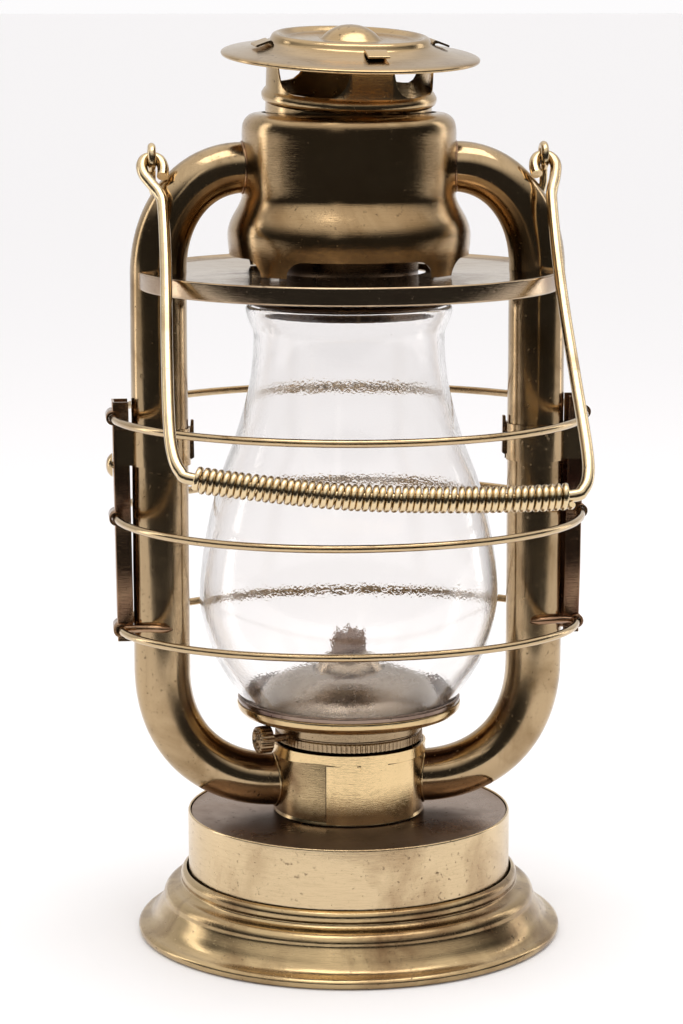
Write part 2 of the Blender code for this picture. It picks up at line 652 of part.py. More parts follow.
def make_strap(side, name):
    """Folded channel with sleeves for the rings, a clamp round the tube and a foot hook."""
    high, low, width, depth = 190.0, 106.0, 5.5, 76.3

    def upright(label, outline, half):
        return flat(label, [[(side * x, z) for x, z in outline]], half, UPRIGHT)

    strap = upright(name, [(strap_web(high), high), (depth, high), (depth, low),
                           (strap_web(low), low)], width)
    hollow = upright(name + "_hollow", [(strap_web(high) - 0.8, high + 9), (60.0, high + 9),
                                        (60.0, low - 9), (strap_web(low) - 1.0, low - 9)],
                     width - 0.8)
    cut(strap, hollow)

    for ring_z, half_x, _ in RINGS.values():
        centre = half_x
        join(strap, rod(name + "_sleeve", (side * centre, -5.6, ring_z),
                        (side * centre, 5.6, ring_z), SLEEVE_R, 12))

    for label, low_z, high_z, reach in (("_clamp", CLAMP_LOW, CLAMP_HIGH, -TUBE_X),
                                        ("_hook", HOOK_LOW, HOOK_HIGH, 62.9)):
        band = solid(turned(name + label, [
            (CLAMP_R + 0.7, high_z), (CLAMP_R + 0.7, low_z), (CLAMP_R, low_z),
            (CLAMP_R, high_z)], 20))
        band.matrix_world = Matrix.Translation((side * TUBE_X * MM, 0.0, 0.0))
        if reach > 0:
            corners = sorted((side * 40.0, side * reach))
            cut(band, box(name + label + "_end", (corners[0], -20, low_z - 5),
                          (corners[1], 20, high_z + 5)))
            band = solid(band)
        join(strap, band)
        for front in (-1, 1):
            xs = sorted((side * 75.1, side * 77.6))
            ys = sorted((front * (width - 1.4), front * (width - 0.02)))
            join(strap, box(name + label + "_wing", (xs[0], ys[0], low_z + 0.3),
                            (xs[1], ys[1], high_z - 0.3)))

    ear = [(56.05, 168.8), (54.2, 169.8), (54.4, 183.0), (55.5, 183.0), (55.6, CLAMP_HIGH - 0.3),
           (56.05, CLAMP_HIGH - 0.3)]
    ear = [(x - 0.4, z) for x, z in ear]
    join(strap, upright(name + "_ear", ear, 0.8))

    for ring_z, half_x, _ in RINGS.values():
        centre = half_x - 0.3
        cut(strap, rod(name + "_wire_hole", (side * centre, -12, ring_z),
                       (side * centre, 12, ring_z), SLEEVE_BORE, 12))
    if side < 0:
        cut(strap, rod("stud_hole", (-90, 0, CLAMP_LOW), (-79, 0, CLAMP_LOW), 1.5, 12))
    finish(strap, PATINA)


make_foot()
make_tank()
make_filler()
make_collar()
make_burner()
make_wick()
make_tubes()
make_ears()
make_bail()
make_top_plate()
make_drum()
make_hood()
make_globe()
make_guard()
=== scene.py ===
"""Looks of the hurricane lantern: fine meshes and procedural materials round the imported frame.

Lengths in the tables are millimetres, turned into metres by the helpers. The lantern stands on
z = 0 on the z axis, with its front towards -Y.
"""
import json
from math import cos, sin, pi, radians, sqrt

import bmesh
import bpy
from mathutils import Matrix, Vector, noise


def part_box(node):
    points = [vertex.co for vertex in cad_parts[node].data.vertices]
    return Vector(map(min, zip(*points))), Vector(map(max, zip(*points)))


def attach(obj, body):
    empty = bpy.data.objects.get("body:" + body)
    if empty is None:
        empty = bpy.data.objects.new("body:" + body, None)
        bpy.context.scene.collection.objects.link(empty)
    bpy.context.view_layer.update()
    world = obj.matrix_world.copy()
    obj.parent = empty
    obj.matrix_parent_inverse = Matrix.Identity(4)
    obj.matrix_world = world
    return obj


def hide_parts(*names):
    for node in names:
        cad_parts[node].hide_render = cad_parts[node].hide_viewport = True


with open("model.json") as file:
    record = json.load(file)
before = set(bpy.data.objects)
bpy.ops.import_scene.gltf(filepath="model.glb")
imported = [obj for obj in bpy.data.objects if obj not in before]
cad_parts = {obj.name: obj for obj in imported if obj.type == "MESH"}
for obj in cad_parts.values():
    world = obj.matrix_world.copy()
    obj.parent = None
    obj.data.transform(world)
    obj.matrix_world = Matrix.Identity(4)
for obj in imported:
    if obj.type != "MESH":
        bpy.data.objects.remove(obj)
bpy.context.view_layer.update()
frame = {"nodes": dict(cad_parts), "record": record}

RECORD = frame["record"]
BODY_OF = {n: b for b, nodes in RECORD["behaviour"]["bodies"].items() for n in nodes}

MM = 0.001
SHARP = 40                     # degrees at which an edge is drawn sharp, unless a piece says more
SHARP_SMOOTH = 60              # the same for pieces whose outline is a smooth line

SIDES = 192                    # sides of the large turned pieces
BROAD = 160                    # sides of the collar, drum, hood band and globe
WALL_SIDES = 128               # sides of the tank's wall
CAP_SIDES = 176                # sides of the hood's cap
FINE = 96                      # sides of the small ones
ROLL_SIDES = 48                # sides of the straps' sleeves

COLLAR_R = 26.3
KNURL_TEETH = 96
KNOB_IN = 31.75
KNOB_RIBS = 20
SHAFT_Z = 72.0
SHAFT_TURN = radians(18.0)
SHAFT_OFFSET = 3.9
TUBE_X = 65.8
TUBE_R = 9.8
TUBE_R_DRUM = 8.75
TUBE_R_COLLAR = 9.35
TUBE_DRUM_Z = 269.8
TUBE_COLLAR_Z = 54.2
TUBE_STRAIGHT_HIGH = 234.0     # the tube is straight between these heights
TUBE_STRAIGHT_LOW = 95.0
DRUM_R = 36.8
DRUM_FOOT = 234.3
ARCH_HALF = 24.4
ARCH_TOP = 240.0
ARCH_CORNER = 5.0
HOOD_Z = 293.8
HOOD_LEAN = radians(6.0)
HOOD_SIDE = radians(1.3)
POST_TURN = radians(10.0)
POST_R = 28.6
POST_HALF_WIDTH = 3.7
WIRE_R = 1.35
RING_SIDES = 192
# each guard ring's height, and its half-width across and from front to back
RINGS = {"top": (184.5, 82.2, 74.0), "middle": (149.4, 81.5, 72.0), "bottom": (110.0, 80.5, 58.0)}
STUD_Z = 167.5
STUD_PROUD = 2.3
FINGER_WIRE = 1.35
CLAMP_R = 10.0
CLAMP_LOW = 167.6
CLAMP_HIGH = 180.4
PIVOT_X = 67.7
PIVOT_Z = 273.3
BAIL_LEAN = radians(46.5)
BAIL_WIRE = 2.0
EAR_R = 3.7
EAR_WIRE = 1.4
GRIP_TURNS = 53
GRIP_STEPS = 16                # points in each turn of the coil
GRIP_COIL_R = 3.4
GRIP_COIL_WIRE = 1.02
GRIP_END = 59.2

# stands a flat outline up, its x staying across and its y pointing up
UPRIGHT = Matrix(((1, 0, 0, 0), (0, 0, -1, 0), (0, 1, 0, 0), (0, 0, 0, 1)))

FLOOR_NEAR = -0.44             # metres: the table's front edge and how far it runs
FLOOR_FAR = 60.0
LIGHT_COLOUR = (1.0, 0.97, 0.93)


# ---------------------------------------------------------------- shape helpers

def fillet(points, reach, count=4):
    """The closed outline with each corner rounded by a curve that starts at reach from it."""
    found = []
    for i, point in enumerate(points):
        before, after = Vector(points[i - 1]), Vector(points[(i + 1) % len(points)])
        corner = Vector(point)
        start = corner + (before - corner) * min(reach / max((before - corner).length, 1e-6), 0.48)
        end = corner + (after - corner) * min(reach / max((after - corner).length, 1e-6), 0.48)
        for j in range(count + 1):
            t = j / count
            found.append(tuple(start * (1 - t) ** 2 + corner * 2 * t * (1 - t) + end * t ** 2))
    return found


def smooth(points, count):
    """A smooth line through the points, with count steps between neighbours."""
    found = []
    last = len(points) - 1
    for i in range(last):
        p0, p1, p2, p3 = (points[max(i - 1, 0)], points[i], points[i + 1], points[min(i + 2, last)])
        for j in range(count):
            t = j / count
            found.append(tuple(
                0.5 * (2 * b + (c - a) * t + (2 * a - 5 * b + 4 * c - d) * t ** 2
                       + (3 * b - a - 3 * c + d) * t ** 3)
                for a, b, c, d in zip(p0, p1, p2, p3)))
    return found + [tuple(points[-1])]


def bezier(points, count):
    """Points along a cubic Bezier curve in a plane."""
    found = []
    for i in range(count + 1):
        t = i / count
        k = ((1 - t) ** 3, 3 * (1 - t) ** 2 * t, 3 * (1 - t) * t ** 2, t ** 3)
        found.append(tuple(sum(k[j] * points[j][axis] for j in range(4)) for axis in (0, 1)))
    return found


def link(name, data):
    obj = bpy.data.objects.new(name, data)
    bpy.context.scene.collection.objects.link(obj)
    return obj


def mesh_object(name, shape, angle=SHARP):
    """An object from a bmesh, which is freed, with smooth faces and sharp edges."""
    mesh = bpy.data.meshes.new(name)
    shape.to_mesh(mesh)
    shape.free()
    mesh.shade_smooth()
    mesh.set_sharp_from_angle(angle=radians(angle))
    return link(name, mesh)


def skin(name, sections):
    """A closed solid through equal rings of points, in millimetres."""
    shape = bmesh.new()
    rings = [[shape.verts.new([c * MM for c in point]) for point in section]
             for section in sections]
    count = len(rings[0])
    for a, b in zip(rings, rings[1:]):
        for j in range(count):
            k = (j + 1) % count
            shape.faces.new((a[j], a[k], b[k], b[j]))
    shape.faces.new(rings[0][::-1])
    shape.faces.new(rings[-1])
    bmesh.ops.recalc_face_normals(shape, faces=shape.faces)
    return mesh_object(name, shape)


def solid(obj, angle=SHARP):
    """Replace a curve or a modified object by its own mesh."""
    bpy.context.view_layer.update()
    graph = bpy.context.evaluated_depsgraph_get()
    mesh = bpy.data.meshes.new_from_object(obj.evaluated_get(graph))
    shape = bmesh.new()
    shape.from_mesh(mesh)
    bmesh.ops.remove_doubles(shape, verts=shape.verts, dist=0.000002)
    bmesh.ops.recalc_face_normals(shape, faces=shape.faces)
    shape.to_mesh(mesh)
    shape.free()
    mesh.shade_smooth()
    mesh.set_sharp_from_angle(angle=radians(angle))
    name = obj.name
    world = obj.matrix_world.copy()
    bpy.data.objects.remove(obj, do_unlink=True)
    made = link(name, mesh)
    made.matrix_world = world
    return made


def turned(name, profile, sides=SIDES, angle=SHARP):
    """A closed profile of (radius, height) turned round z."""
    mesh = bpy.data.meshes.new(name)
    ends_on_axis = profile[0][0] < 1e-6 and profile[-1][0] < 1e-6
    edges = [(i, i + 1) for i in range(len(profile) - 1)]
    if not ends_on_axis:
        edges.append((len(profile) - 1, 0))
    mesh.from_pydata([(r * MM, 0.0, z * MM) for r, z in profile], edges, [])
    obj = link(name, mesh)
    screw = obj.modifiers.new("turn", "SCREW")
    screw.axis = "Z"
    screw.steps = screw.render_steps = sides
    screw.use_merge_vertices = True
    screw.merge_threshold = 0.000001
    return solid(obj, angle)


def wire(name, points, radius, closed=False, rounds=5, swell=None, caps=True):
    """A round wire through the points; swell scales its radius at each point."""
    curve = bpy.data.curves.new(name, "CURVE")
    curve.dimensions = "3D"
    curve.bevel_depth = radius * MM
    curve.bevel_resolution = rounds
    curve.use_fill_caps = caps and not closed
    line = curve.splines.new("POLY")
    line.points.add(len(points) - 1)
    for i, point in enumerate(points):
        line.points[i].co = (*[c * MM for c in point], 1.0)
        line.points[i].radius = swell[i] if swell else 1.0
    line.use_cyclic_u = closed
    return solid(link(name, curve))


def flat(name, outline, half_thick, matrix=None):
    """A flat outline thickened both ways and set by a matrix."""
    curve = bpy.data.curves.new(name, "CURVE")
    curve.dimensions = "2D"
    curve.fill_mode = "BOTH"
    curve.extrude = half_thick * MM
    line = curve.splines.new("POLY")
    line.points.add(len(outline) - 1)
    for i, (x, y) in enumerate(outline):
        line.points[i].co = (x * MM, y * MM, 0.0, 1.0)
    line.use_cyclic_u = True
    obj = link(name, curve)
    obj.matrix_world = matrix or Matrix.Identity(4)
    return solid(obj)


def cut(obj, other):
    """Cut another mesh away, applied at once."""
    step = obj.modifiers.new("shape", "BOOLEAN")
    step.operation = "DIFFERENCE"
    step.solver = "EXACT"
    step.object = other
    made = solid(obj)
    bpy.data.objects.remove(other, do_unlink=True)
    return made


def merge(name, objects):
    """Several meshes as one object."""
    shape = bmesh.new()
    for obj in objects:
        mesh = obj.data.copy()
        mesh.transform(obj.matrix_world)
        shape.from_mesh(mesh)
        bpy.data.meshes.remove(mesh)
        bpy.data.objects.remove(obj, do_unlink=True)
    return mesh_object(name, shape)


def dent(obj, amount, size, seed):
    """Move the surface in and out a little, as hand-worked sheet does."""
    for vertex in obj.data.vertices:
        place = vertex.co / (size * MM) + Vector((seed, seed * 0.7, -seed))
        out = Vector((vertex.co.x, vertex.co.y, 0.0))
        if out.length > 0.004:
            vertex.co += out.normalized() * noise.noise(place) * amount * MM
    return obj


def paint(obj, material):
    """Move the piece's place into its mesh and give it its material."""
    bpy.context.view_layer.update()
    obj.data.transform(obj.matrix_world)
    obj.matrix_world = Matrix.Identity(4)
    obj.data.materials.clear()
    obj.data.materials.append(material)


def dress(obj, material, *nodes):
    """Give the piece its material and its body, and let it stand for its CAD nodes."""
    paint(obj, material)
    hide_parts(*nodes)
    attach(obj, BODY_OF[nodes[0]])


def detail(obj, material, node):
    """A small extra piece that rides with a node without replacing it."""
    paint(obj, material)
    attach(obj, BODY_OF[node])


# ---------------------------------------------------------------- materials

EDGE_WEAR = 0.6                # how far edges are rubbed towards the bright brass
HOLLOW_DARK = (0.055, 0.022, 0.012)  # colour in the hollows


class Nodes:
    """Short calls for building one material's nodes."""

    def __init__(self, name):
        self.material = bpy.data.materials.new(name)
        self.material.use_nodes = True
        self.tree = self.material.node_tree
        self.shader = self.tree.nodes["Principled BSDF"]
        self.out = self.tree.nodes["Material Output"]
        self.place = self.add("ShaderNodeTexCoord").outputs["Object"]

    def add(self, kind, **settings):
        node = self.tree.nodes.new(kind)
        for key, value in settings.items():
            setattr(node, key, value)
        return node

    def link(self, a, b):
        self.tree.links.new(a, b)

    def noise(self, scale, stretch=(1, 1, 1), detail=4.0, rough=0.55, distort=0.0):
        move = self.add("ShaderNodeMapping")
        move.inputs["Scale"].default_value = stretch
        self.link(self.place, move.inputs["Vector"])
        cloud = self.add("ShaderNodeTexNoise")
        cloud.inputs["Scale"].default_value = scale
        cloud.inputs["Detail"].default_value = detail
        cloud.inputs["Roughness"].default_value = rough
        cloud.inputs["Distortion"].default_value = distort
        self.link(move.outputs["Vector"], cloud.inputs["Vector"])
        return cloud.outputs["Fac"]

    def ramp(self, value, low, high, start=0.0, end=1.0):
        node = self.add("ShaderNodeMapRange", clamp=True)
        node.inputs["From Min"].default_value = low
        node.inputs["From Max"].default_value = high
        node.inputs["To Min"].default_value = start
        node.inputs["To Max"].default_value = end
        self.link(value, node.inputs["Value"])
        return node.outputs["Result"]

    def math(self, operation, a, b):
        node = self.add("ShaderNodeMath", operation=operation)
        for socket, value in zip(node.inputs, (a, b)):
            if isinstance(value, (int, float)):
                socket.default_value = value
            else:
                self.link(value, socket)
        return node.outputs[0]

    def mix(self, amount, a, b):
        node = self.add("ShaderNodeMix", data_type="RGBA")
        colours = [s for s in node.inputs if s.type == "RGBA"]
        for socket, value in zip(colours, (a, b)):
            if isinstance(value, tuple):
                socket.default_value = (*value, 1.0)
            else:
                self.link(value, socket)
        self.link(amount, node.inputs[0])
        return [s for s in node.outputs if s.type == "RGBA"][0]

    def bump(self, height, distance, strength=1.0, before=None):
        node = self.add("ShaderNodeBump")
        node.inputs["Strength"].default_value = strength
        node.inputs["Distance"].default_value = distance
        self.link(height, node.inputs["Height"])
        if before is not None:
            self.link(before, node.inputs["Normal"])
        return node.outputs["Normal"]


def brass(name, light, dark, tarnish=0.5, gloss=0.2, pits=0.5, grain=(1, 1, 30)):
    """Old brass: cloudy tarnish, brown specks, fine rubbed scratches, worn edges and darker hollows.
    """
    n = Nodes(name)
    shader = n.shader
    shader.inputs["Metallic"].default_value = 1.0
    cloud = n.noise(32.0, detail=6.0, distort=0.6)
    patch = n.noise(9.0, detail=3.0)
    both = n.math("ADD", n.math("MULTIPLY", cloud, 0.6), n.math("MULTIPLY", patch, 0.4))
    cover = n.ramp(both, 0.62 - 0.25 * tarnish, 0.80 - 0.30 * tarnish)
    colour = n.mix(cover, light, dark)
    scratch = n.noise(160.0, stretch=grain, detail=5.0, rough=0.7)
    colour = n.mix(n.ramp(scratch, 0.50, 0.78, 0.0, 0.35), colour, dark)
    speck = n.ramp(n.noise(620.0, detail=2.0), 0.66 - 0.05 * pits, 0.74, 0.0, 0.75)
    thick = n.ramp(n.noise(26.0, detail=2.0), 0.44, 0.62)
    colour = n.mix(n.math("MULTIPLY", speck, thick), colour, tuple(c * 0.28 for c in dark))
    point = n.add("ShaderNodeNewGeometry").outputs["Pointiness"]
    edge = n.ramp(point, 0.515, 0.58, 0.0, EDGE_WEAR)
    colour = n.mix(edge, colour, tuple(min(1.0, c * 1.25) for c in light))
    # hollows are mixed towards a near-black brown, more the deeper the hollow
    hollow = n.ramp(point, 0.485, 0.42, 0.0, 0.85)
    colour = n.mix(hollow, colour, HOLLOW_DARK)
    n.link(colour, shader.inputs["Base Color"])
    rough = n.math("ADD", n.ramp(cloud, 0.35, 0.70, gloss * 0.5, gloss * 1.05),
                   n.ramp(scratch, 0.4, 0.8, 0.0, 0.07))
    rough = n.math("ADD", rough, n.math("MULTIPLY", speck, 0.2))
    n.link(rough, shader.inputs["Roughness"])
    normal = n.bump(n.noise(48.0, detail=2.0), 0.0009, 0.10)
    normal = n.bump(scratch, 0.00012, 0.30, normal)
    normal = n.bump(speck, 0.0001, -0.25 * pits - 0.05, normal)
    n.link(normal, shader.inputs["Normal"])
    return n.material


def glass(name):
    """Old clear glass with slight waves, seeds and a little dust."""
    n = Nodes(name)
    shader = n.shader
    shader.inputs["Base Color"].default_value = (0.965, 0.955, 0.95, 1.0)
    shader.inputs["Transmission Weight"].default_value = 1.0
    shader.inputs["IOR"].default_value = 1.42
    n.link(n.ramp(n.noise(60.0, detail=5.0), 0.40, 0.75, 0.02, 0.11), shader.inputs["Roughness"])
    waves = n.bump(n.noise(34.0, stretch=(1, 1, 0.5), detail=1.5), 0.0016, 0.16)
    seeds = n.ramp(n.noise(240.0, detail=0.0), 0.78, 0.83)
    seeded = n.bump(seeds, 0.0002, 0.12, waves)
    dusty = n.bump(n.noise(1100.0, detail=1.0), 0.00006, 0.5, seeded)
    n.link(dusty, shader.inputs["Normal"])
    clear = n.add("ShaderNodeBsdfTransparent")
    clear.inputs["Color"].default_value = (0.93, 0.93, 0.92, 1.0)
    ray = n.add("ShaderNodeLightPath").outputs["Is Shadow Ray"]
    choose = n.add("ShaderNodeMixShader")
    n.link(ray, choose.inputs[0])
    n.link(shader.outputs[0], choose.inputs[1])
    n.link(clear.outputs[0], choose.inputs[2])
    n.link(choose.outputs[0], n.out.inputs["Surface"])
    return n.material


def cotton(name):
    """Woven wick, oil-stained, charred at the top."""
    n = Nodes(name)
    shader = n.shader
    weave = n.add("ShaderNodeTexWave", wave_type="BANDS", bands_direction="Z")
    weave.inputs["Scale"].default_value = 380.0
    weave.inputs["Distortion"].default_value = 3.0
    n.link(n.place, weave.inputs["Vector"])
    stain = n.noise(120.0, detail=5.0)
    colour = n.mix(n.ramp(stain, 0.35, 0.65), (0.62, 0.42, 0.32), (0.34, 0.20, 0.14))
    colour = n.mix(n.ramp(weave.outputs["Fac"], 0.2, 0.8, 0.0, 0.5), colour, (0.62, 0.48, 0.38))
    n.link(colour, shader.inputs["Base Color"])
    shader.inputs["Roughness"].default_value = 0.95
    shader.inputs["Sheen Weight"].default_value = 0.3
    n.link(n.bump(weave.outputs["Fac"], 0.0004, 0.7, n.bump(stain, 0.0008, 0.6)),
           shader.inputs["Normal"])
    return n.material


def cork(name):
    """Brown cork with dark grains."""
    n = Nodes(name)
    grain = n.noise(300.0, detail=6.0)
    n.link(n.mix(n.ramp(grain, 0.4, 0.65), (0.42, 0.27, 0.15), (0.17, 0.09, 0.05)),
           n.shader.inputs["Base Color"])
    n.shader.inputs["Roughness"].default_value = 0.85
    n.link(n.bump(grain, 0.0005, 0.6), n.shader.inputs["Normal"])
    return n.material


FOOT = brass("foot_brass", (0.50, 0.37, 0.20), (0.17, 0.095, 0.045), gloss=0.22, pits=0.9)
TANK = brass("tank_brass", (0.66, 0.51, 0.31), (0.33, 0.21, 0.11), tarnish=0.35, gloss=0.26, pits=0.9,
             grain=(1, 1, 14))
TANK_TOP = brass("tank_top_patina", (0.30, 0.21, 0.155), (0.19, 0.13, 0.10), tarnish=0.6, gloss=0.42,
                 grain=(1, 1, 1))
COLLAR = brass("collar_brass", (0.50, 0.37, 0.20), (0.16, 0.09, 0.045), tarnish=0.6, gloss=0.17)
COLLAR_BRIGHT = brass("collar_polished", (0.66, 0.49, 0.26), (0.24, 0.13, 0.06), tarnish=0.55,
                      gloss=0.12)
TUBE = brass("tube_brass", (0.44, 0.32, 0.185), (0.20, 0.125, 0.055), gloss=0.17, pits=0.9,
             grain=(1, 1, 0.08))
DRUM = brass("canopy_brass", (0.44, 0.31, 0.17), (0.22, 0.13, 0.055), gloss=0.15)
PLATE = brass("plate_brass", (0.46, 0.35, 0.23), (0.24, 0.15, 0.10), gloss=0.17)
HOOD = brass("hood_brass", (0.46, 0.33, 0.18), (0.20, 0.115, 0.055), tarnish=0.45, gloss=0.16)
SOOT = brass("chimney_dark", (0.13, 0.085, 0.05), (0.045, 0.028, 0.02), tarnish=0.8, gloss=0.38)
GUARD = brass("guard_wire", (0.52, 0.39, 0.23), (0.22, 0.13, 0.065), tarnish=0.4, gloss=0.18)
STRAP = brass("guard_strap", (0.34, 0.22, 0.13), (0.13, 0.055, 0.035), tarnish=0.7, gloss=0.20)
BAIL = brass("bail_wire", (0.62, 0.49, 0.30), (0.28, 0.17, 0.09), tarnish=0.4, gloss=0.16)
# the burner's brass is painted darker than its own colour: painted shade, where the gallery's lip
# shades the burner
BURNER_PAINTED_SHADE = brass("burner_brass", (0.34, 0.25, 0.15), (0.12, 0.07, 0.04), tarnish=0.6, gloss=0.24)
BURNER_DARK = brass("burner_dark", (0.42, 0.36, 0.30), (0.24, 0.20, 0.165), tarnish=0.55, gloss=0.36)
GALLERY = brass("gallery_brass", (0.30, 0.22, 0.17), (0.10, 0.06, 0.05), tarnish=0.7, gloss=0.22)
CONE = brass("burner_cone_warm", (0.55, 0.45, 0.34), (0.30, 0.24, 0.18), gloss=0.34)
KNOB = brass("knob_brass", (0.34, 0.24, 0.14), (0.13, 0.07, 0.04), tarnish=0.6, gloss=0.28)
GLASS = glass("globe_glass")
WICK = cotton("wick_cotton")
CORK = cork("cork")


# ---------------------------------------------------------------- tank and foot

def make_foot():
    outside = [(57.9, 22.2), (59.0, 21.7), (59.7, 20.5), (59.8, 19.0), (59.5, 17.8), (60.2, 16.9),
               (61.6, 16.3), (63.6, 15.9), (65.0, 14.9), (65.8, 13.4), (66.0, 12.0), (66.7, 10.6),
               (68.0, 8.4), (69.2, 6.3), (70.6, 4.7), (72.3, 3.8), (73.8, 3.3), (74.8, 2.5),
               (75.0, 1.5), (74.7, 0.5), (74.0, 0.0)]
    inside = [(71.5, 0.0), (69.6, 3.2), (67.6, 7.4), (65.0, 11.4), (60.2, 14.6), (57.3, 17.0)]
    foot = turned("foot_shell", smooth(outside, 4) + inside, angle=SHARP_SMOOTH)
    dress(dent(foot, 0.25, 40.0, 3.0), FOOT, "base_foot")


def make_tank():
    wall = fillet([(56.7, 43.3), (57.0, 42.9), (57.0, 3.0), (56.2, 3.0), (56.2, 43.3)], 0.3, 3)
    rows = []
    for a, b in zip(wall, wall[1:] + wall[:1]):
        steps = max(1, int(abs(a[1] - b[1]) / 4))
        rows += [(a[0] + (b[0] - a[0]) * i / steps, a[1] + (b[1] - a[1]) * i / steps)
                 for i in range(steps)]
    dress(dent(turned("tank_wall_sheet", rows, WALL_SIDES), 0.22, 34.0, 1.0), TANK, "tank_wall")

    disc = [(55.9, 42.8), (55.9, 42.0), (17.0, 42.0), (17.0, 42.8), (50.0, 42.6), (54.6, 42.6)]
    disc = fillet(disc, 0.3, 3)
    dress(turned("tank_top_sheet", disc), TANK_TOP, "tank_top")


# ---------------------------------------------------------------- collar and burner

def around(angle, radius, z):
    """A point on a cylinder; angle 0 faces the front and grows towards +X."""
    return (radius * sin(angle), -radius * cos(angle), z)


def curved_sheet(name, start, end, radius, thick, low, high, count=48, lower=None):
    """A piece of sheet bent round z between two angles; lower(t) can lift its bottom edge."""
    bevel = 0.15
    rings = []
    for i in range(count + 1):
        t = i / count
        angle = start + (end - start) * t
        foot = low + (lower(t) if lower else 0.0)
        corners = [(radius, foot), (radius + thick, foot + bevel), (radius + thick, high - bevel),
                   (radius, high)]
        rings.append([around(angle, r, z) for r, z in corners])
    return skin(name, rings)


def solder(name, ring_r, bore_r, z, side, bead):
    """A bead of solder where a round tube meets an upright cylinder."""
    points = []
    for i in range(72):
        a = 2 * pi * i / 72
        y = bore_r * cos(a)
        points.append((side * sqrt(ring_r ** 2 - y ** 2), y, z + bore_r * sin(a)))
    return wire(name, points, bead, closed=True, rounds=3)


def make_collar():
    wall = [(COLLAR_R, 68.0), (COLLAR_R, 44.2), (COLLAR_R + 0.5, 43.1), (25.5, 43.1), (25.5, 68.0)]
    wall = turned("collar_wall", fillet(wall, 0.25, 3), BROAD)
    dress(dent(wall, 0.12, 18.0, 5.0), COLLAR, "air_collar")
    lap = curved_sheet("collar_lap", radians(-23), radians(52), COLLAR_R + 0.02, 0.4, 43.4, 64.4)
    detail(lap, COLLAR_BRIGHT, "air_collar")
    seam = curved_sheet("collar_seam", radians(-23.9), radians(-23.0), COLLAR_R + 0.02, 0.06, 43.4,
                        64.2, 4)
    detail(seam, SOOT, "air_collar")
    for side, name in ((-1, "left"), (1, "right")):
        bead = solder("collar_solder_" + name, COLLAR_R + 0.2, TUBE_R_COLLAR, TUBE_COLLAR_Z, side,
                      0.55)
        detail(bead, COLLAR, "air_collar")

    def uneven(t):
        return 0.5 * sin(t * 23.0) + 0.35 * sin(t * 41.0 + 1.0)

    hoop = curved_sheet("collar_hoop", 0.0, 2 * pi, COLLAR_R + 0.3, 0.65, 64.3, 68.3, 180, uneven)
    dress(hoop, COLLAR_BRIGHT, "collar_band")
    catch = curved_sheet("collar_catch", radians(3), radians(24), COLLAR_R + 0.5, 0.45, 62.6, 66.6)
    detail(catch, COLLAR_BRIGHT, "collar_band")


def knurl(obj, low, high, inner, teeth, depth):
    """Cut shallow flutes into a turned piece between two heights, outside the inner radius."""
    for vertex in obj.data.vertices:
        z = vertex.co.z / MM
        radius = Vector((vertex.co.x, vertex.co.y)).length / MM
        if low < z < high and radius > inner:
            angle = Vector((vertex.co.x, vertex.co.y)).angle_signed(Vector((1.0, 0.0)))
            push = depth * 0.5 * (cos(angle * teeth) - 1.0) * MM
            vertex.co.x += push * cos(-angle)
            vertex.co.y += push * sin(-angle)
    return obj


def make_burner():
    base = [(26.2, 76.7), (26.2, 73.0), (25.6, 72.5), (25.6, 72.2), (26.1, 71.8), (26.1, 71.0),
            (26.1, 70.0), (26.1, 69.2), (25.4, 68.9), (25.0, 68.4), (25.0, 64.0), (24.2, 64.0),
            (24.2, 68.6), (9.4, 68.6), (9.4, 69.4), (24.2, 69.4), (24.2, 72.0), (25.4, 72.8),
            (25.4, 76.7)]
    body = turned("burner_body", base, KNURL_TEETH * 6, angle=50)
    # the knurled body takes the brass painted dark as shade under the gallery's lip
    dress(knurl(body, 69.05, 71.95, 24.6, KNURL_TEETH, 0.7), BURNER_PAINTED_SHADE, "burner_base")

    outside = [(38.9, 84.6), (39.3, 84.0), (38.9, 82.4), (38.2, 81.0), (36.8, 79.6), (34.6, 78.4),
               (31.0, 77.5), (27.2, 77.0)]
    inside = [(27.2, 77.7), (33.0, 78.9), (34.6, 80.6), (35.6, 81.4), (37.4, 81.9), (38.0, 83.2),
              (38.4, 84.6)]
    gallery = turned("gallery_dish", smooth(outside, 4) + [(16.0, 77.0), (16.0, 77.7)] + inside,
                     angle=SHARP_SMOOTH)
    dress(gallery, GALLERY, "globe_gallery")
    lip = [(39.35, 82.6), (39.45, 81.6), (39.2, 80.4), (38.0, 79.0), (36.2, 78.1), (35.0, 77.9),
           (34.9, 78.4), (36.6, 79.4), (38.3, 80.9), (38.7, 82.4)]
    detail(turned("gallery_lip", fillet(lip, 0.3, 3)), COLLAR_BRIGHT, "globe_gallery")

    deck = [(12.6, 94.0), (19.0, 92.9), (27.0, 89.2), (30.6, 86.0), (32.2, 83.0), (32.6, 79.3)]
    under = [(31.8, 79.3), (31.2, 83.6), (26.4, 88.4), (18.6, 92.1), (12.6, 93.2)]
    dome = turned("deck_dome", smooth(deck, 4) + under, angle=SHARP_SMOOTH)
    dress(dome, BURNER_DARK, "burner_deck")

    cone = [(0.0, 100.4), (5.6, 99.9), (9.6, 97.8), (11.8, 94.4), (12.3, 91.0), (12.3, 86.0)]
    under = [(11.5, 86.0), (11.5, 91.0), (11.0, 94.0), (9.0, 97.1), (5.4, 99.1), (0.0, 99.6)]
    cap = turned("cone_cap", smooth(cone, 4) + under, FINE, angle=SHARP_SMOOTH)
    blaze = flat("blaze", [(-7.7, -2.3), (7.7, -2.3), (7.7, 2.3), (-7.7, 2.3)], 6.0,
                 Matrix.Translation((0, 0, 0.1)) @ Matrix.Rotation(SHAFT_TURN, 4, "Z"))
    dress(cut(cap, blaze), CONE, "burner_cone")


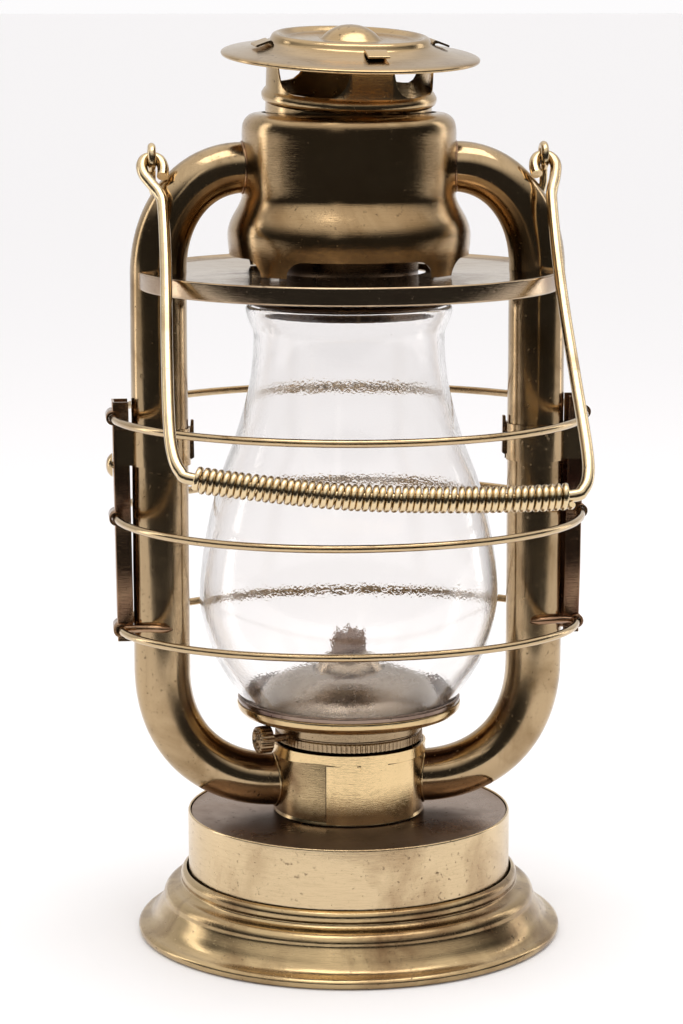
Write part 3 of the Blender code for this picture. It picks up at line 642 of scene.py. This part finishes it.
def shaft_frame(along):
    """The plane square to the wick shaft, its z axis pointing outward along the shaft."""
    outward = Vector((-cos(SHAFT_TURN), -sin(SHAFT_TURN), 0.0))
    forward = Vector((sin(SHAFT_TURN), -cos(SHAFT_TURN), 0.0))
    centre = outward * along + forward * SHAFT_OFFSET + Vector((0.0, 0.0, SHAFT_Z))
    turn = outward.to_track_quat("Z", "Y").to_matrix().to_4x4()
    return Matrix.Translation(centre * MM) @ turn


def make_wick():
    """The wick's cotton with a ragged, open top."""
    shape = bmesh.new()
    half, thick, foot, top = 6.4, 0.85, 14.0, 107.5
    columns, rows = 26, 70
    grid = {}
    for side in (0, 1):
        for i in range(columns + 1):
            x = -half + 2 * half * i / columns
            fray = 1.6 * sin(x * 1.9 + 0.6) * cos(x * 0.7) + 1.1 * sin(x * 4.3 + 2.0)
            for j in range(rows + 1):
                t = j / rows
                z = foot + (top + max(-3.0, min(2.5, fray + 0.2 - 0.05 * x * x)) - foot) * t
                spread = max(0.0, (z - 103.0) / 6.0)
                y = (thick - 0.30 * spread) * (1 if side else -1)
                edge = 1.0 - 0.5 * (abs(x) / half) ** 6
                y = y * edge + 0.25 * spread * noise.noise(Vector((x, z, side * 2.0)))
                grid[side, i, j] = shape.verts.new((x * MM, y * MM, z * MM))
    for side in (0, 1):
        for i in range(columns):
            for j in range(rows):
                shape.faces.new((grid[side, i, j], grid[side, i + 1, j], grid[side, i + 1, j + 1],
                                 grid[side, i, j + 1]))
    for i in range(columns):
        for j in (0, rows):
            shape.faces.new((grid[0, i, j], grid[0, i + 1, j], grid[1, i + 1, j], grid[1, i, j]))
    for j in range(rows):
        for i in (0, columns):
            shape.faces.new((grid[0, i, j], grid[0, i, j + 1], grid[1, i, j + 1], grid[1, i, j]))
    bmesh.ops.recalc_face_normals(shape, faces=shape.faces)
    weave = mesh_object("wick_weave", shape, SHARP_SMOOTH)
    weave.matrix_world = Matrix.Rotation(SHAFT_TURN, 4, "Z")
    dress(weave, WICK, "wick")


def make_knob():
    """Pressed knob with wavy concentric ridges and a ribbed rim."""
    profile = [(0.0, 5.4), (0.9, 5.4), (1.3, 4.9), (2.0, 4.7), (2.6, 5.2), (3.1, 4.8), (3.6, 5.3),
               (4.3, 5.1), (4.75, 4.4), (4.8, 1.0), (4.4, 0.2), (0.0, 0.1)]
    plain, fade = 2.2, 2.4      # the ribs start outside the plain middle and grow over the fade
    knob = turned("knob_press", smooth(profile, 3), KNOB_RIBS * 8, angle=SHARP_SMOOTH)
    for vertex in knob.data.vertices:
        radius = Vector((vertex.co.x, vertex.co.y)).length / MM
        if radius > plain:
            angle = Vector((vertex.co.x, vertex.co.y)).angle_signed(Vector((1.0, 0.0)))
            depth = 0.05 * min(1.0, (radius - plain) / fade)
            scale = 1.0 - depth * 0.5 * (1.0 + cos(angle * KNOB_RIBS))
            vertex.co.x *= scale
            vertex.co.y *= scale
    knob.matrix_world = shaft_frame(KNOB_IN)
    dress(knob, KNOB, "wick_knob")


# ---------------------------------------------------------------- side tubes

def tube_path():
    """Centreline (x, z) and radius of the right-hand tube, from drum to collar."""
    bend, rows = 28, 24
    fall = TUBE_STRAIGHT_LOW - TUBE_STRAIGHT_HIGH
    top = bezier([(DRUM_R, TUBE_DRUM_Z), (54.0, 269.5), (TUBE_X, 254.0),
                  (TUBE_X, TUBE_STRAIGHT_HIGH)], bend)
    foot = bezier([(TUBE_X, TUBE_STRAIGHT_LOW), (TUBE_X, 70.0), (50.0, 54.3),
                   (26.0, TUBE_COLLAR_Z)], bend)
    middle = [(TUBE_X, TUBE_STRAIGHT_HIGH + fall * i / rows) for i in range(1, rows)]
    path = [((DRUM_R - 1.5, TUBE_DRUM_Z), TUBE_R_DRUM)]
    path += [(p, TUBE_R_DRUM + (TUBE_R - TUBE_R_DRUM) * i / bend) for i, p in enumerate(top)]
    path += [(p, TUBE_R) for p in middle]
    path += [(p, TUBE_R + (TUBE_R_COLLAR - TUBE_R) * i / bend) for i, p in enumerate(foot)]
    path.append(((25.2, TUBE_COLLAR_Z), TUBE_R_COLLAR))
    return path


def make_tubes():
    path = tube_path()
    for side, name in ((-1, "tube_left"), (1, "tube_right")):
        points = [(side * x, 0.0, z) for (x, z), _ in path]
        tube = wire(name + "_pipe", points, TUBE_R, rounds=14,
                    swell=[r / TUBE_R for _, r in path], caps=False)
        for vertex in tube.data.vertices:
            place = vertex.co / 0.022 + Vector((side * 3.0, 0.0, 0.0))
            axis = Vector((side * TUBE_X * MM, 0.0, vertex.co.z))
            if TUBE_STRAIGHT_LOW * MM < vertex.co.z < TUBE_STRAIGHT_HIGH * MM:
                out = (vertex.co - axis).normalized()
                vertex.co += out * 0.00012 * noise.noise(place)
        dress(tube, TUBE, name)
        bead = solder(name + "_drum_solder", DRUM_R + 0.1, TUBE_R_DRUM, TUBE_DRUM_Z, side, 0.45)
        detail(bead, STRAP, name)


def make_ears():
    for side, name in ((-1, "ear_left"), (1, "ear_right")):
        x = side * PIVOT_X
        ring = [(x, EAR_R * cos(2 * pi * i / 48), PIVOT_Z + EAR_R * sin(2 * pi * i / 48))
                for i in range(48)]
        loop = wire(name + "_loop", ring, EAR_WIRE, closed=True)
        bend = [(x, 0, PIVOT_Z - EAR_R), (x, 0, 264.0), (x - side * 1.5, 0, 258.0)]
        stem = wire(name + "_stem", bend, EAR_WIRE)
        dress(merge(name + "_wire", [loop, stem]), BAIL, name)


# ---------------------------------------------------------------- bail

def bail_point(x, along, out=0.0):
    """A point on the resting bail: x, distance along the arms from the pivot, and out of plane."""
    down, ahead = cos(BAIL_LEAN), sin(BAIL_LEAN)
    return (x, -along * ahead - out * down, PIVOT_Z - along * down + out * ahead)


def grip_line():
    """The grip's sagging line: x, and distance along the arms from the pivot."""
    return [(-60.0, 138.6), (-40.0, 142.4), (-12.0, 146.6), (18.0, 148.3), (46.0, 148.4),
            (60.0, 147.6)]


def make_bail():
    left_eye = [(-64.3, 8.8), (-64.0, 4.6), (-65.2, 1.1), (-67.7, 0.0), (-70.2, 1.1),
                (-71.2, 4.4), (-70.4, 8.2), (-68.0, 12.6)]
    left_arm = [(-65.6, 17.2), (-64.7, 24.0), (-64.9, 50.0), (-66.0, 84.0), (-66.6, 114.0),
                (-66.0, 128.0), (-63.8, 135.6)]
    right_arm = [(63.2, 145.6), (65.7, 140.0), (66.7, 129.0), (66.6, 100.0), (66.5, 70.0),
                 (67.0, 44.0), (68.0, 22.0)]
    right_eye = [(68.8, 16.0), (70.4, 10.4), (71.4, 4.6), (70.2, 1.1), (67.7, 0.0), (65.2, 1.1),
                 (64.0, 4.6), (64.3, 8.8)]
    route = smooth(left_eye + left_arm + grip_line() + right_arm + right_eye, 8)
    bail = wire("bail_wire_bent", [bail_point(x, along) for x, along in route], BAIL_WIRE, rounds=6)
    dress(bail, BAIL, "bail_handle")

    line = smooth(grip_line(), 24)
    line = [p for p in line if abs(p[0]) <= GRIP_END]
    lengths = [0.0]
    for a, b in zip(line, line[1:]):
        lengths.append(lengths[-1] + (Vector(b) - Vector(a)).length)
    total = lengths[-1]
    points = []
    j = 0
    for i in range(GRIP_TURNS * GRIP_STEPS + 1):
        t = i / GRIP_TURNS / GRIP_STEPS
        loose = 0.16 * sin(t * 37.0) + 0.1 * sin(t * 83.0)
        goal = min(total, max(0.0, t * total + loose))
        while j < len(line) - 2 and lengths[j + 1] < goal:
            j += 1
        while j > 0 and lengths[j] > goal:
            j -= 1
        f = (goal - lengths[j]) / (lengths[j + 1] - lengths[j])
        x = line[j][0] + (line[j + 1][0] - line[j][0]) * f
        along = line[j][1] + (line[j + 1][1] - line[j][1]) * f
        slope = (line[j + 1][1] - line[j][1]) / (line[j + 1][0] - line[j][0])
        lean = 1 / sqrt(1 + slope * slope)
        a = 2 * pi * i / GRIP_STEPS
        across = GRIP_COIL_R * cos(a)
        points.append(bail_point(x - across * slope * lean, along + across * lean,
                                 GRIP_COIL_R * sin(a)))
    dress(wire("grip_coil", points, GRIP_COIL_WIRE, rounds=3), BAIL, "grip_spring")


# ---------------------------------------------------------------- canopy

def make_top_plate():
    profile = [(72.6, 235.2), (73.2, 234.7), (73.2, 229.2), (72.8, 228.8), (72.3, 229.0),
               (72.3, 233.2), (26.5, 233.2), (26.5, 234.0), (70.4, 234.0), (71.6, 234.5)]
    dress(dent(turned("plate_disc", fillet(profile, 0.35, 3)), 0.15, 40.0, 7.0), PLATE, "top_plate")


def rounded_arch(half, low, top, corner, count=8):
    """The outline of an air opening with round upper corners."""
    outline = [(-half, low), (half, low)]
    outline += [(half - corner + corner * cos(pi / 2 * i / count),
                 top - corner + corner * sin(pi / 2 * i / count)) for i in range(count + 1)]
    outline += [(-half + corner - corner * sin(pi / 2 * i / count),
                 top - corner + corner * cos(pi / 2 * i / count)) for i in range(count + 1)]
    return outline


def make_drum():
    outside = [(30.0, 288.5), (33.0, 288.2), (35.0, 287.1), (36.3, 285.2), (36.8, 282.6),
               (36.8, 278.0), (36.8, 266.0), (36.8, 261.0), (37.2, 258.8), (38.4, 256.2),
               (40.0, 253.4), (41.1, 251.0), (41.8, 248.4), (41.9, 246.0), (41.6, 242.0),
               (40.5, 234.3)]
    inside = [(39.7, 234.3), (41.1, 246.4), (40.2, 252.2), (37.4, 257.0), (36.0, 260.4),
              (36.0, 282.8), (35.1, 285.8), (33.0, 287.4), (30.0, 287.7)]
    drum = turned("drum_shell", smooth(outside, 3) + inside, BROAD, angle=SHARP_SMOOTH)
    arch = rounded_arch(ARCH_HALF, DRUM_FOOT - 4.3, ARCH_TOP, ARCH_CORNER)
    for name, turn in (("arch_front", 0.0), ("arch_side", pi / 2)):
        drum = cut(drum, flat(name, arch, 60.0, Matrix.Rotation(turn, 4, "Z") @ UPRIGHT))
    dress(dent(drum, 0.15, 26.0, 9.0), DRUM, "canopy_drum")


def hood_frame():
    """Where the crooked hood sits: bead centre, leaning to the front and right."""
    lean = Matrix.Rotation(HOOD_LEAN, 4, "X") @ Matrix.Rotation(HOOD_SIDE, 4, "Y")
    return Matrix.Translation((0.0, 0.0, HOOD_Z * MM)) @ lean


def post_frame(index):
    """A post's own frame in the hood: x runs outward, y up and z sideways."""
    outward = Matrix.Rotation(radians(-90) + POST_TURN + index * pi / 2, 4, "Z")
    return outward @ UPRIGHT


def make_hood():
    place = hood_frame()
    wall = POST_R - 0.8
    outside = [(POST_R, 16.6), (POST_R, 2.8), (29.3, 1.9), (30.0, 0.8), (30.1, -0.2), (29.7, -1.4),
               (POST_R, -2.2), (POST_R, -6.0)]
    ring = turned("hood_band", outside + [(wall, -6.0), (wall, 16.6)], BROAD, angle=50)
    vent = [(6.0, 2.6), (9.0, 3.0), (11.2, 4.4), (12.6, 6.4), (13.6, 9.0), (14.4, 12.5),
            (14.8, 20.0)]
    outline = vent + [(-x, z) for x, z in reversed(vent)]
    for index in range(2):
        turn = Matrix.Rotation(POST_TURN + pi / 4 + index * pi / 2, 4, "Z")
        ring = cut(ring, flat("vent", outline, 50.0, turn @ UPRIGHT))
    tab = [(28.0, 15.0), (28.2, 18.8), (29.0, 19.6), (30.2, 19.3), (34.3, 17.8), (34.1, 17.1),
           (30.2, 18.5), (29.0, 18.4), (28.6, 15.0)]
    pieces = [ring]
    for index in range(4):
        pieces.append(flat("tab", fillet(tab, 0.4, 3), POST_HALF_WIDTH, post_frame(index)))
    band = merge("hood_posts", pieces)
    band.matrix_world = place
    dress(band, HOOD, "hood_ring")

    top = [(0.0, 24.5), (3.0, 24.2), (5.5, 23.4), (7.6, 22.2), (9.3, 20.8), (10.6, 19.7),
           (12.0, 19.5), (17.0, 19.45), (22.0, 19.5), (23.4, 20.1), (24.6, 20.9), (25.8, 21.1),
           (26.9, 20.5), (27.4, 19.5), (28.0, 18.6), (30.0, 17.7), (34.0, 16.4), (39.0, 15.5),
           (42.6, 14.9), (44.0, 14.4), (44.3, 13.8), (44.1, 13.3)]
    under = [(43.2, 13.6), (42.4, 14.0), (33.8, 15.4), (26.9, 17.9), (26.2, 19.4), (25.0, 19.9),
             (22.8, 18.6), (10.1, 18.7), (8.7, 20.2), (5.2, 22.5), (0.0, 23.6)]
    cap = turned("hood_dish", smooth(top, 3) + under, CAP_SIDES, angle=SHARP_SMOOTH)
    cap.matrix_world = place
    dress(dent(cap, 0.12, 22.0, 11.0), HOOD, "hood_cap")

    chimney = [(24.0, 287.0), (24.0, 223.4), (23.2, 223.4), (23.2, 287.0)]
    dress(turned("draught_tube", fillet(chimney, 0.3, 2), FINE), SOOT, "inner_chimney")
    dish = [(25.1, 229.0), (25.1, 225.8), (26.4, 225.2), (34.0, 224.0), (34.5, 223.5),
            (34.4, 222.9), (30.9, 222.9), (30.9, 219.2), (30.1, 219.2), (30.1, 223.3),
            (24.3, 224.4), (24.3, 229.0)]
    dress(turned("globe_cap_dish", fillet(dish, 0.35, 3)), SOOT, "globe_cap")


# ---------------------------------------------------------------- globe

def make_globe():
    outside = [(34.9, 222.6), (35.7, 222.0), (35.9, 220.6), (35.4, 218.4), (34.6, 216.4),
               (33.5, 213.8), (33.2, 211.0), (33.4, 205.0), (34.2, 198.0), (35.3, 192.0),
               (39.6, 176.4), (46.1, 158.7), (50.8, 137.5), (52.5, 121.5), (51.0, 110.6),
               (47.5, 99.7), (43.5, 92.5), (40.0, 87.2), (38.3, 84.8), (37.9, 83.4), (37.5, 82.5)]
    inside = [(36.2, 82.5), (36.3, 84.4), (38.4, 87.8), (41.9, 93.4), (45.9, 100.4),
              (49.2, 110.8), (50.6, 121.5), (49.0, 137.2), (44.3, 158.2), (37.8, 175.8),
              (33.6, 191.6), (32.4, 198.0), (31.6, 205.0), (31.4, 211.0), (31.9, 214.4),
              (32.9, 217.2), (33.8, 220.0), (34.0, 222.0)]
    globe = turned("globe_blown", smooth(outside, 4) + smooth(inside, 3), BROAD, angle=80)
    dress(dent(globe, 0.16, 20.0, 13.0), GLASS, "globe")


# ---------------------------------------------------------------- wire guard

def make_guard():
    for name, (z, half_x, half_y) in RINGS.items():
        points = [(half_x * cos(2 * pi * i / RING_SIDES), half_y * sin(2 * pi * i / RING_SIDES),
                   z + 0.12 * sin(6 * pi * i / RING_SIDES + z)) for i in range(RING_SIDES)]
        dress(wire("ring_" + name, points, WIRE_R, closed=True), GUARD, "guard_ring_" + name)
    make_strap(-1, "guard_strap_left")
    make_strap(1, "guard_strap_right")
    stud = smooth([(0.0, STUD_PROUD), (1.3, 2.15), (2.6, 1.7), (3.7, 0.8), (4.15, 0.1)], 4)
    stud += [(3.4, 0.1), (1.2, 0.9), (1.2, -1.6), (0.0, -1.6)]
    head = turned("stud_head", stud, FINE)
    low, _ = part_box("guard_stud")
    head.matrix_world = (Matrix.Translation((low.x + STUD_PROUD * MM, 0.0, STUD_Z * MM))
                         @ Matrix.Rotation(radians(-90), 4, "Y"))
    dress(head, GUARD, "guard_stud")


def wrap(name, side, radius, thick, low, high, start, end, count):
    """A band of sheet bent round one air tube; angles are from the outer side, front positive."""
    corners = ((radius, low), (radius + thick, low), (radius + thick, high), (radius, high))
    rings = []
    for i in range(count + 1):
        angle = start + (end - start) * i / count
        rings.append([(side * (TUBE_X + r * cos(angle)), -r * sin(angle), z) for r, z in corners])
    return skin(name, rings)


def strap_outline():
    """Section of the folded strap, looking down: outer web, two rolled edges."""
    half, depth, thick = 5.1, 5.6, 0.8
    return fillet([(0.0, -half), (0.0, half), (-depth, half), (-depth, half - thick),
                   (-thick, half - thick), (-thick, -half + thick), (-depth, -half + thick),
                   (-depth, -half)], 0.6)


def make_strap(side, name):
    """Folded channel with rolled sleeves, a clamp round the tube and two hooked fingers."""
    high, low, web_high, web_low = 190.0, 106.0, 82.4, 81.3
    section = strap_outline()
    rows = []
    steps = 40
    for i in range(steps + 1):
        t = i / steps
        z = low + (high - low) * t
        web = web_low + (web_high - web_low) * t
        squeeze = 1.0 - 0.10 * (0.5 + 0.5 * sin(t * 17.0))
        rows.append([(side * (web + x), y * squeeze, z) for x, y in section])

    parts = [skin(name + "_fold", rows)]
    for z, half_x, _ in RINGS.values():
        sleeve = [(2.42, 5.6), (2.30, 5.75), (1.75, 5.75), (1.6, 5.6), (1.6, -5.6), (1.75, -5.75),
                  (2.30, -5.75), (2.42, -5.6)]
        roll = turned(name + "_roll", sleeve, ROLL_SIDES)
        roll.matrix_world = (Matrix.Translation((side * (half_x - 0.1) * MM, 0.0, z * MM))
                             @ Matrix.Rotation(pi / 2, 4, "X"))
        parts.append(roll)
    for front in (-1, 1):
        points = [(side * 79.8, front * 4.4, 110.0), (side * 78.0, front * 5.6, 110.6),
                  (side * 75.0, front * 8.4, 111.2), (side * 71.8, front * 10.5, 111.6),
                  (side * 68.0, front * 11.6, 111.6), (side * 64.8, front * 11.7, 111.4),
                  (side * 62.6, front * 11.3, 111.2)]
        parts.append(wire(name + "_finger", smooth(points, 5), FINGER_WIRE, rounds=4,
                          swell=[1.0] * 24 + [0.96, 0.90, 0.80, 0.66, 0.50, 0.34, 0.22]))
    dress(merge(name + "_folded", parts), STRAP, name)

    clamp = wrap(name + "_clamp", side, CLAMP_R, 0.65, CLAMP_LOW, CLAMP_HIGH, radians(-172),
                 radians(172), 80)
    detail(clamp, TUBE, name)
    foot, head = CLAMP_LOW + 0.3, CLAMP_HIGH - 0.3
    for front in (-1, 1):
        wing = flat(name + "_wing",
                    fillet([(75.2, foot), (81.0, foot), (81.0, head), (75.2, head)], 0.3), 0.35,
                    Matrix.Translation((0.0, front * 4.6 * MM, 0.0)) @ UPRIGHT)
        if side < 0:
            wing.matrix_world = Matrix.Rotation(pi, 4, "Z") @ wing.matrix_world
        detail(wing, TUBE, name)
    ear = [(55.7, 168.8), (54.0, 169.8), (54.1, 176.0), (54.1, 183.0), (55.1, 183.0), (55.3, 180.4)]
    tab = flat(name + "_ear", fillet([(side * x, z) for x, z in ear], 0.3), 0.8, UPRIGHT)
    detail(tab, STRAP, name)


# ---------------------------------------------------------------- pieces kept from the frame

def keep_cad():
    """CAD nodes whose shape is right take a finished material."""
    finishes = {
        "tank_bottom": FOOT,
        # the burner's socket, wick tube and wick tube plate take the same brass, painted dark as
        # shade
        "filler_neck": TANK, "filler_cap": TANK, "filler_seal": CORK, "burner_socket": BURNER_PAINTED_SHADE,
        "wick_tube_plate": BURNER_PAINTED_SHADE, "wick_tube": BURNER_PAINTED_SHADE, "knob_shaft": KNOB,
        "wick_wheel_inner": KNOB, "wick_wheel_outer": KNOB,
    }
    for node, material in finishes.items():
        obj = frame["nodes"][node]
        obj.data.materials.clear()
        obj.data.materials.append(material)


# ---------------------------------------------------------------- stage, light and camera

def make_stage():
    """A pale table that ends a little in front of the lantern, in a white studio."""
    floor = bpy.data.materials.new("floor_pale")
    floor.use_nodes = True
    shader = floor.node_tree.nodes["Principled BSDF"]
    shader.inputs["Base Color"].default_value = (0.96, 0.95, 0.955, 1.0)
    shader.inputs["Roughness"].default_value = 0.55
    shader.inputs["Specular IOR Level"].default_value = 0.25
    mesh = bpy.data.meshes.new("floor")
    corners = [(-FLOOR_FAR, FLOOR_NEAR, 0), (FLOOR_FAR, FLOOR_NEAR, 0), (FLOOR_FAR, FLOOR_FAR, 0),
               (-FLOOR_FAR, FLOOR_FAR, 0)]
    mesh.from_pydata(corners, [], [(0, 1, 2, 3)])
    mesh.materials.append(floor)
    ground = link("floor", mesh)
    ground.location.z = -0.0002
    make_world()


def make_world():
    """White all round for the eye and for soft light; metal mirrors a studio dark in front."""
    world = bpy.data.worlds.new("studio")
    bpy.context.scene.world = world
    world.use_nodes = True
    tree = world.node_tree
    mirrored = tree.nodes["Background"]
    mirrored.inputs["Color"].default_value = (1.0, 0.97, 0.94, 1.0)
    place = tree.nodes.new("ShaderNodeTexCoord").outputs["Generated"]
    split = tree.nodes.new("ShaderNodeSeparateXYZ")
    tree.links.new(place, split.inputs[0])
    parts = []
    for axis, low, high, dark, bright in (("Y", 0.0, 0.85, 0.03, 0.80),
                                          ("Z", 0.30, 0.72, 0.0, 1.15)):
        ramp = tree.nodes.new("ShaderNodeMapRange")
        ramp.interpolation_type = "SMOOTHSTEP"
        ramp.inputs["From Min"].default_value = low
        ramp.inputs["From Max"].default_value = high
        ramp.inputs["To Min"].default_value = dark
        ramp.inputs["To Max"].default_value = bright
        tree.links.new(split.outputs[axis], ramp.inputs["Value"])
        parts.append(ramp.outputs["Result"])
    brighter = tree.nodes.new("ShaderNodeMath")
    brighter.operation = "MAXIMUM"
    tree.links.new(parts[0], brighter.inputs[0])
    tree.links.new(parts[1], brighter.inputs[1])
    tree.links.new(brighter.outputs[0], mirrored.inputs["Strength"])
    white = tree.nodes.new("ShaderNodeBackground")
    white.inputs["Color"].default_value = (0.985, 0.975, 0.98, 1.0)
    choose = tree.nodes.new("ShaderNodeMixShader")
    ray = tree.nodes.new("ShaderNodeLightPath").outputs["Is Glossy Ray"]
    tree.links.new(ray, choose.inputs[0])
    tree.links.new(white.outputs[0], choose.inputs[1])
    tree.links.new(mirrored.outputs[0], choose.inputs[2])
    tree.links.new(choose.outputs[0], tree.nodes["World Output"].inputs["Surface"])


def area(name, place, target, width, height, power):
    """A soft rectangular light aimed at a point."""
    light = bpy.data.lights.new(name, "AREA")
    light.shape = "RECTANGLE"
    light.size = width
    light.size_y = height
    light.energy = power
    light.color = LIGHT_COLOUR
    obj = link(name, light)
    obj.location = place
    obj.rotation_euler = (Vector(target) - Vector(place)).to_track_quat("-Z", "Y").to_euler()


def make_lights():
    middle = (0.0, 0.0, 0.16)
    area("top_box", (0.05, -0.15, 1.15), middle, 1.0, 0.5, 4.6)
    area("left_box", (-1.10, 0.42, 0.40), middle, 0.22, 0.9, 1.5)
    area("right_box", (1.10, 0.50, 0.45), middle, 0.18, 0.9, 1.2)
    area("front_strip", (-0.42, -1.30, 0.85), middle, 0.14, 0.5, 0.16)


def make_camera():
    """The photograph's view: about 9.6 degrees down and 6 degrees to one side."""
    data = bpy.data.cameras.new("camera")
    camera = link("camera", data)
    data.lens = 106.77
    data.sensor_width = 36.0
    data.clip_start = 0.05
    camera.location = (-0.11215, -1.04270, 0.32736)
    camera.rotation_euler = (radians(90.0) - 0.168, 0.0, radians(-6.0))
    bpy.context.scene.camera = camera
    bpy.context.scene.view_settings.view_transform = "Standard"


make_foot()
make_tank()
make_collar()
make_burner()
make_wick()
make_knob()
make_tubes()
make_ears()
make_bail()
make_top_plate()
make_drum()
make_hood()
make_globe()
make_guard()
keep_cad()
make_stage()
make_lights()
make_camera()
